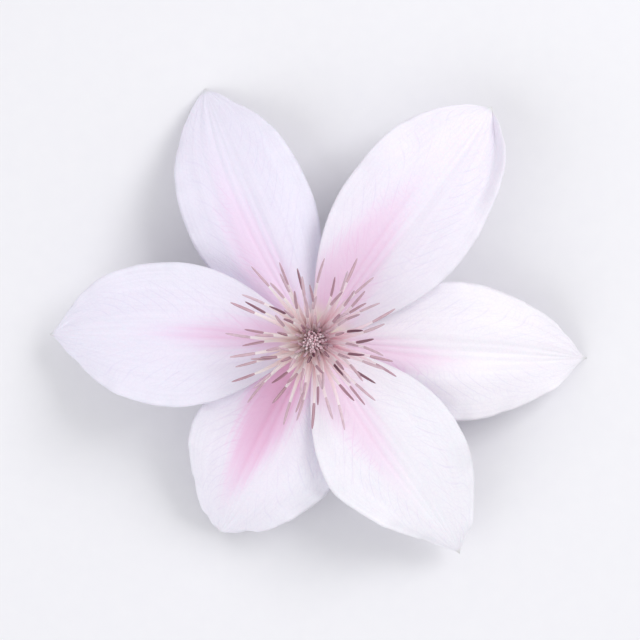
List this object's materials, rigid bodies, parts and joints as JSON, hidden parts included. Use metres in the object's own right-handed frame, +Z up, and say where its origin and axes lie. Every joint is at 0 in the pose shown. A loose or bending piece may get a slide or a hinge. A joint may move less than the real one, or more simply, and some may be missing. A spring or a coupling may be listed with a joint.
{
  "type": "clematis flower",
  "caption": "Open clematis flower as picked, lying face up: pointed tepals in two whorls, a brush of stamens round a tuft of styles, and a short stalk bent under it.",
  "frame": {"origin": "on the surface that the flower lies on, under the middle of its outline", "axes": "+Z up, along the flower's own axis, out of its face; +Y towards the top of the flower as it faces the viewer; +X to its right"},
  "size_m": [0.1122, 0.0974, 0.033],
  "materials": {
    "tepal": "white with a breath of lavender, satin, thin enough to let light through, with a pink bar along the lower part of the midrib",
    "stamen": "matt, cream to pink filaments under grey-mauve to burgundy anthers",
    "style": "silky, dusky pink",
    "green": "matt green stalk, downy, tinged brown-purple along its ribs"
  },
  "bodies": {
    "root": {"peduncle": "green", "tepal_1": "tepal", "tepal_2": "tepal", "tepal_3": "tepal", "tepal_4": "tepal", "tepal_5": "tepal", "tepal_6": "tepal", "stamens": "stamen", "styles": "style"}
  },
  "joints": []
}
